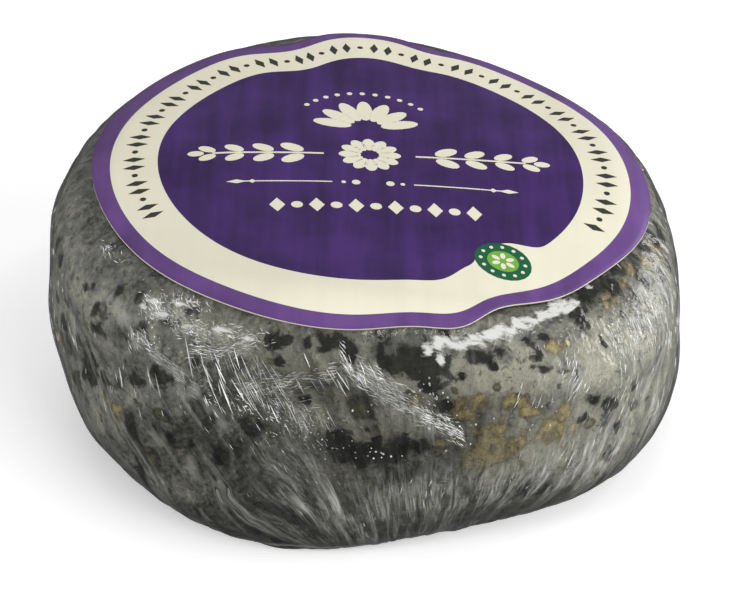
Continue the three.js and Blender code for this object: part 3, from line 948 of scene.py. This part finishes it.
class CHEESE_OT_creases(bpy.types.Operator):
    """Model the painted glints of the film's bright folds, bunched creases and air bubbles"""
    bl_idname = "cheese.creases"
    bl_label = "Creases"

    def execute(self, context):
        skin = Skin(context.scene.cheese_wheel)
        film = context.scene.cheese_film
        draw = np.random.default_rng(77)
        folds = []
        for toward, middle, half_width, half_height, count, lean, long in GLINTS:
            for _ in range(count):
                off = draw.normal(0, 0.5, 2)
                angle = math.radians(toward + off[0] * half_width)
                run = skin.run_at(math.degrees(angle), middle) + off[1] * half_height * MM
                # Long folds lie nearly side by side, the short ones of a crumpled spot every way
                slant = math.radians(lean + draw.normal(0, 6 if lean < 50 else 28))
                size = long * draw.lognormal(0, 0.4) * 0.75
                folds.append((angle, run, slant, size, 0.12 + 0.04 * size * draw.random(), draw.random()))
        for path in BUNCHES:
            folds += self.bunch(skin, path, draw)
        for toward, middle, half_width, half_height, count in BUBBLES:
            for _ in range(count):
                angle = math.radians(toward + draw.normal(0, 0.5) * half_width)
                run = skin.run_at(math.degrees(angle), middle) + draw.normal(0, 0.5) * half_height * MM
                wide = film.bubble / MM * draw.uniform(0.5, 1.2)
                folds.append((angle, run, 0, wide, wide, 0.08 + 0.36 * draw.random()))
        piece = self.raise_folds(skin, np.array(folds))
        piece.data.materials.append(painted_glint_material(film))
        dress(piece, WHEEL_NODE)
        return {"FINISHED"}

    def bunch(self, skin, path, draw):
        """Short folds packed along a line, as where the film gathers."""
        path = np.array(path, dtype=float)
        runs = np.array([skin.run_at(*point) for point in path])
        angles = np.radians(path[:, 0])
        count = int(48 * (len(path) - 1))
        folds = []
        for at in np.sort(draw.uniform(0, len(path) - 1, count)):
            angle = np.interp(at, range(len(path)), angles)
            run = np.interp(at, range(len(path)), runs)
            i = min(int(at), len(path) - 2)
            across = (angles[i + 1] - angles[i]) * skin.wheel.radius
            slant = math.atan2(across, runs[i + 1] - runs[i]) + draw.normal(0, 0.24)
            size = draw.uniform(0.8, 3.2)
            run += draw.normal(0, 1.3) * MM
            folds.append((angle, run, slant, size, draw.uniform(0.06, 0.16), draw.random() ** 1.4))
        return folds

    def raise_folds(self, skin, folds):
        """Copies one small spindle, modelled from a low ball, to each fold's place, way and size; the
        spindles are painted glints.
        """
        nothing_selected()
        bpy.ops.mesh.primitive_uv_sphere_add(segments=6, ring_count=6, radius=0.5)
        piece = bpy.context.active_object
        piece.name = piece.data.name = "film_creases"
        spindle = get_places(piece)
        spindle[:, :2] *= (1 - np.abs(spindle[:, 2:]) * 1.1)
        faces = [list(face.vertices) for face in piece.data.polygons]
        angle, run, slant, long, wide, bright = folds.T
        place, round_way, down_way, outward = skin.frame(angle, run)
        along = down_way * np.cos(slant)[:, None] + round_way * np.sin(slant)[:, None]
        across = np.cross(outward, along)
        sizes = np.stack([wide, np.minimum(wide, 0.5) * 0.8, long], axis=-1) * MM
        ways = np.stack([across, outward, along], axis=1) * sizes[:, :, None]
        points = place[:, None, :] + np.einsum("vk,nkc->nvc", spindle, ways)
        points[..., 2] = np.maximum(points[..., 2], BASE_HEIGHT)
        count = len(spindle)
        every = [[corner + i * count for corner in face] for i in range(len(folds)) for face in faces]
        mesh = bpy.data.meshes.new("film_creases")
        mesh.from_pydata(points.reshape(-1, 3).tolist(), [], every)
        piece.data = mesh
        store(piece, "bright", np.repeat(0.25 + 0.7 * bright, count))
        bpy.ops.object.shade_smooth()
        return piece


def ring_radii(label, angle):
    """Radii of the label's edge, the border's inner ring and the field's ring."""
    radii = [base + 0.0 * angle for base in (label.radius, label.inner, label.field)]
    for toward, width, *depths in LABEL_DIPS:
        share = np.exp(-(turn_between(angle, toward) / width) ** 2)
        radii = [radius - depth * MM * share for radius, depth in zip(radii, depths)]
    radii[2] = radii[2] - label.notch * np.exp(-(turn_between(angle, NOTCH_DEG) / NOTCH_WIDTH_DEG) ** 4)
    return radii


def paper_height(context, x, y):
    """Height of the label's upper face, with the paper's soft wrinkles."""
    label = context.scene.cheese_label
    places = np.stack([x, y * 0.6, 0 * x], axis=-1)
    inside = np.clip(1.2 - np.hypot(x, y) / label.radius, 0, 0.6)
    wrinkles = label.wrinkle * inside * (ripple(places, 21, 21) + 0.5 * ripple(places, 9, 22))
    return on_top(context.scene.cheese_wheel, x, y) + label.gap + label.thickness + wrinkles


class CHEESE_OT_label(bpy.types.Operator):
    """Model the round paper label with its border, band and field"""
    bl_idname = "cheese.label"
    bl_label = "Label"

    def execute(self, context):
        label = context.scene.cheese_label
        # Rows 0 to 1 are the field, 1 to 2 the band and 2 to 3 the border; the under side follows
        rows = np.concatenate([np.linspace(0, 1, 17), np.linspace(1, 2, 7)[1:], np.linspace(2, 3, 5)[1:]])
        under = np.concatenate([[3], np.linspace(2, 1, 4), [0.7, 0.4, 0]])
        profile = [(row * 10 * MM, 1 * MM) for row in rows] + [(row * 10 * MM, 0) for row in under]
        piece = turned("paper_label", profile, 480)
        flat = get_places(piece)
        angle = np.arctan2(flat[:, 1], flat[:, 0])
        row = np.hypot(flat[:, 0], flat[:, 1]) / (10 * MM)
        edge, inner, field = ring_radii(label, angle)
        band = field + (row - 1) * (inner - field)
        border = inner + (row - 2) * (edge - inner)
        out = np.select([row < 1, row < 2], [row * field, band], border)
        x = out * np.cos(angle)
        y = out * np.sin(angle)
        upper = flat[:, 2] > 0.5 * MM
        height = paper_height(context, x, y) - np.where(upper, 0, label.thickness)
        set_places(piece, np.stack([x, y, height], axis=-1))
        piece.data.materials.append(printed_paper("violet_field_print", label.field_colour, 0.42, 0.36))
        piece.data.materials.append(printed_paper("cream_band_paper", label.cream_colour, 0.55, 0.03))
        piece.data.materials.append(printed_paper("violet_border_print", label.border_colour, 0.42, 0.2))
        for face in piece.data.polygons:
            corners = list(face.vertices)
            middle = row[corners].mean()
            printed = upper[corners].all()
            face.material_index = 1 if not printed or 1 < middle < 2 else (0 if middle < 1 else 2)
        dress(piece, LABEL_NODE)
        return {"FINISHED"}


def print_shape(kind, x, y, half_width, half_height, turn_deg):
    """One flat printed shape in the XY plane: disc, lozenge, bar or petal, placed and sized in mm."""
    corners = {"disc": 24, "lozenge": 4, "bar": 4, "petal": 16}[kind]
    nothing_selected()
    bpy.ops.mesh.primitive_circle_add(vertices=corners, radius=1 * MM, fill_type="TRIFAN")
    piece = bpy.context.active_object
    bpy.ops.object.mode_set(mode="EDIT")
    if kind == "bar":
        bpy.ops.transform.rotate(value=math.radians(45), orient_axis="Z", center_override=(0, 0, 0))
        half_width, half_height = half_width * math.sqrt(2), half_height * math.sqrt(2)
    if kind == "petal":
        bpy.ops.transform.resize(
            value=(half_width * 0.5, half_height * 0.36, 1), center_override=(0, 0, 0))
        bpy.ops.transform.translate(value=(0, half_height * 0.64 * MM, 0))
    else:
        bpy.ops.transform.resize(value=(half_width, half_height, 1), center_override=(0, 0, 0))
    bpy.ops.mesh.subdivide(number_cuts=6 if kind == "bar" else 2)
    bpy.ops.object.mode_set(mode="OBJECT")
    turn = math.radians(turn_deg)
    places = get_places(piece)
    turned_x = places[:, 0] * math.cos(turn) - places[:, 1] * math.sin(turn)
    turned_y = places[:, 0] * math.sin(turn) + places[:, 1] * math.cos(turn)
    set_places(piece, np.stack([turned_x + x * MM, turned_y + y * MM, places[:, 2]], axis=-1))
    return piece


def print_on_label(context, name, shapes, material, lift_mm, turn_deg=0.0):
    """Joins flat shapes, turns them about the label's middle, drapes and thickens them."""
    made = [print_shape(*shape) for shape in shapes]
    nothing_selected()
    for item in made:
        item.select_set(True)
    bpy.context.view_layer.objects.active = made[0]
    if len(made) > 1:
        bpy.ops.object.join()
    piece = bpy.context.active_object
    piece.name = piece.data.name = name
    turn = math.radians(turn_deg)
    flat = get_places(piece)
    x = flat[:, 0] * math.cos(turn) - flat[:, 1] * math.sin(turn)
    y = flat[:, 0] * math.sin(turn) + flat[:, 1] * math.cos(turn)
    set_places(piece, np.stack([x, y, paper_height(context, x, y) + lift_mm * MM], axis=-1))
    bpy.ops.object.mode_set(mode="EDIT")
    bpy.ops.mesh.select_all(action="SELECT")
    bpy.ops.mesh.normals_make_consistent(inside=False)
    bpy.ops.object.mode_set(mode="OBJECT")
    solidify = piece.modifiers.new("print thickness", "SOLIDIFY")
    solidify.thickness = 0.1 * MM
    solidify.offset = -1
    bpy.ops.object.modifier_apply(modifier=solidify.name)
    piece.data.materials.append(material)
    dress(piece)


def rosette(x, y, reach, petals, first=0.0):
    turns = np.arange(0, 360, 360 / petals)
    return [("petal", x, y, reach * 0.42, reach, first + turn) for turn in turns]


class CHEESE_OT_prints(bpy.types.Operator):
    """Model the plain ornaments printed on the label"""
    bl_idname = "cheese.prints"
    bl_label = "Label ornaments"

    def execute(self, context):
        label = context.scene.cheese_label
        cream = printed_paper("cream_ink", label.cream_colour, 0.5, 0.02)
        ink = printed_paper("dark_ink", label.ink_colour, 0.5, 0.1)
        print_on_label(context, "cream_ornaments", self.cream_shapes(), cream, 0.05, turn_deg=3.7)
        print_on_label(context, "band_ornaments", self.band_shapes(label), ink, 0.05)
        return {"FINISHED"}

    def cream_shapes(self):
        """A rosette between two leaf sprays, a fan above, and a divider of two arrows and four dots."""
        shapes = rosette(0, 0.5, 8.2, 12)
        for side in (-1, 1):
            for i, reach in enumerate((15, 23, 31, 38.5)):
                shapes.append(("petal", side * reach, 0.5, 3.6 - 0.3 * i, 9.2 - 0.8 * i, side * -62))
                shapes.append(("petal", side * reach, 0.5, 3.6 - 0.3 * i, 9.2 - 0.8 * i, side * -118))
            shapes.append(("bar", side * 26.5, 0.5, 14.5, 0.35, 0))
            shapes.append(("petal", side * 41.5, 0.5, 2.6, 6.0, side * -90))
            shapes += [
                ("bar", side * 22, -13.7, 11.5, 0.22, 0),
                ("lozenge", side * 35, -13.7, 2.6, 0.9, 0),
                ("lozenge", side * 31, -13.7, 1.0, 0.9, 0),
                ("disc", side * 7.6, -13.7, 0.6, 0.6, 0),
                ("disc", side * 4.4, -13.7, 1.1, 1.1, 0),
            ]
        for turn in range(-75, 76, 25):
            shapes.append(("petal", 0, 14.5, 4.2, 14.5, turn))
        for turn in range(40, 141, 10):
            place = math.radians(turn)
            shapes.append(("disc", 20 * math.cos(place), 14.5 + 19 * math.sin(place), 0.75, 0.75, 0))
        for i, x in enumerate(np.linspace(-25, 25, 11)):
            shapes.append(("disc", x, -25, 1.5, 1.5, 0) if i % 2 else ("lozenge", x, -25, 2.0, 3.2, 0))
        return shapes

    def band_shapes(self, label):
        """Dark lozenges and dots along the upper part of the cream band."""
        shapes = []
        count = 64
        for i in range(count):
            turn = -20 + 229 * i / (count - 1)
            angle = math.radians(turn)
            _, inner, field = ring_radii(label, np.array(angle))
            out = float(inner + field) / 2 / MM
            place = (out * math.cos(angle), out * math.sin(angle))
            if i % 3 == 1:
                shapes.append(("disc", *place, 0.8, 0.8, 0))
            else:
                shapes.append(("lozenge", *place, 1.15, 2.9, turn - 90))
        return shapes


class CHEESE_OT_seal(bpy.types.Operator):
    """Model the plain round seal on the label"""
    bl_idname = "cheese.seal"
    bl_label = "Seal"

    def execute(self, context):
        label = context.scene.cheese_label
        x, y = 33.2, -41.6
        green = printed_paper("green_seal_ink", label.seal_colour, 0.45, 0.05)
        light = printed_paper("light_green_ink", label.leaf_colour, 0.45, 0.05)
        cream = printed_paper("seal_cream_ink", label.cream_colour, 0.5, 0.02)
        print_on_label(context, "seal_disc", [("disc", x, y, 7.2, 7.2, 0)], green, 0.05)
        print_on_label(context, "seal_middle", [("disc", x, y, 4.0, 4.0, 0)], light, 0.11)
        dots = [
            ("disc", x + 5.6 * math.cos(turn), y + 5.6 * math.sin(turn), 0.5, 0.5, 0)
            for turn in np.linspace(0, 2 * math.pi, 12, endpoint=False)]
        print_on_label(context, "seal_dots", dots + rosette(x, y, 3.2, 6), cream, 0.17)
        return {"FINISHED"}


class CHEESE_OT_stage(bpy.types.Operator):
    """Set the floor, the soft lights and the camera"""
    bl_idname = "cheese.stage"
    bl_label = "Stage"

    def execute(self, context):
        stage = context.scene.cheese_stage
        nothing_selected()
        bpy.ops.mesh.primitive_plane_add(size=2 * stage.floor, location=(0, 0, BASE_HEIGHT - 0.02 * MM))
        floor = bpy.context.active_object
        floor.name = "floor"
        bpy.ops.object.transform_apply(location=True, rotation=False, scale=False)
        floor.data.materials.append(floor_material())
        # The photograph's white ground throws almost no light up at the cheese
        floor.visible_diffuse = False
        floor.visible_glossy = False
        # Name, power, azimuth and elevation in degrees, distance, width and height in metres
        softboxes = (
            ("key_softbox", stage.key, -34, 24, 1.6, 2.1, 0.45),
            ("top_softbox", stage.top, 100, 75, 1.8, 1.2, 1.2),
            ("strip_softbox", stage.strip, -35, 60, 1.6, 1.4, 0.1),
            ("fill_softbox", stage.fill, 212, 18, 1.6, 0.5, 1.0),
            ("side_softbox", stage.side, 24, 12, 1.6, 0.8, 0.9),
        )
        for softbox in softboxes:
            self.softbox(*softbox)
        # The film mirrors the strip and the side light but not the broad key and fill lights
        for name in ("key_softbox", "fill_softbox"):
            bpy.data.objects[name].visible_glossy = False
        context.scene.world = self.room(stage.world)
        context.scene.view_settings.view_transform = "Standard"
        self.camera(context)
        return {"FINISHED"}

    def room(self, strength):
        """Even light from above the floor and little from below it."""
        world = bpy.data.worlds.new("even_room")
        world.use_nodes = True
        tree = world.node_tree
        tree.nodes.clear()
        way = add(tree, "ShaderNodeTexCoord", output="Generated")
        upward = add(tree, "ShaderNodeSeparateXYZ", None, {0: way}, output="Z")
        share = between(tree, upward, -0.12, 0.12, 0.5 * strength, strength)
        background = add(tree, "ShaderNodeBackground", {"Color": (1, 1, 1, 1)}, {"Strength": share})
        add(tree, "ShaderNodeOutputWorld", None, {"Surface": background})
        return world

    def softbox(self, name, power, azimuth_deg, elevation_deg, distance, width, tall):
        azimuth = math.radians(azimuth_deg)
        elevation = math.radians(elevation_deg)
        place = (
            distance * math.cos(elevation) * math.cos(azimuth),
            distance * math.cos(elevation) * math.sin(azimuth),
            distance * math.sin(elevation) + 40 * MM)
        bpy.ops.object.light_add(type="AREA", location=place)
        light = bpy.context.active_object
        light.name = name
        light.data.shape = "RECTANGLE"
        light.data.size = width
        light.data.size_y = tall
        light.data.energy = power
        light.rotation_euler = (math.pi / 2 - elevation, 0, azimuth + math.pi / 2)

    def camera(self, context):
        elevation = math.radians(CAMERA_ELEVATION_DEG)
        back = CAMERA_DISTANCE_MM * MM
        aim = [value * MM for value in CAMERA_AIM_MM]
        place = (aim[0], aim[1] - back * math.cos(elevation), aim[2] + back * math.sin(elevation))
        bpy.ops.object.camera_add(location=place, rotation=(math.pi / 2 - elevation, 0, 0))
        camera = bpy.context.active_object
        camera.data.sensor_width = SENSOR_MM
        camera.data.lens = SENSOR_MM * CAMERA_FOCAL_PX / PHOTO_WIDTH_PX
        camera.data.clip_start = 0.01
        context.scene.camera = camera


class CHEESE_PT_panel(bpy.types.Panel):
    bl_idname = "CHEESE_PT_panel"
    bl_label = "Cheese wheel"
    bl_space_type = "VIEW_3D"
    bl_region_type = "UI"
    bl_category = "Cheese"

    def draw(self, context):
        layout = self.layout
        for operator in OPERATORS:
            layout.operator(operator.bl_idname)
        for group in SETTINGS:
            box = layout.box()
            settings = getattr(context.scene, group)
            for name in settings.bl_rna.properties.keys():
                if name not in ("rna_type", "name"):
                    box.prop(settings, name)


SETTINGS = {
    "cheese_wheel": CheeseWheelSettings,
    "cheese_rind": CheeseRindSettings,
    "cheese_film": CheeseFilmSettings,
    "cheese_label": CheeseLabelSettings,
    "cheese_stage": CheeseStageSettings,
}
OPERATORS = (
    CHEESE_OT_prints, CHEESE_OT_seal, CHEESE_OT_label, CHEESE_OT_creases, CHEESE_OT_rind, CHEESE_OT_film,
    CHEESE_OT_stage,
)


def register():
    for group, settings in SETTINGS.items():
        bpy.utils.register_class(settings)
        setattr(bpy.types.Scene, group, PointerProperty(type=settings))
    for item in OPERATORS + (CHEESE_PT_panel,):
        bpy.utils.register_class(item)


def unregister():
    for item in (CHEESE_PT_panel,) + OPERATORS[::-1]:
        bpy.utils.unregister_class(item)
    for group, settings in SETTINGS.items():
        delattr(bpy.types.Scene, group)
        bpy.utils.unregister_class(settings)


def main():
    register()
    bpy.ops.cheese.prints()
    bpy.ops.cheese.seal()
    bpy.ops.cheese.label()
    bpy.ops.cheese.creases()
    bpy.ops.cheese.rind()
    bpy.ops.cheese.film()
    bpy.ops.cheese.stage()
    nothing_selected()


if __name__ == "__main__":
    main()
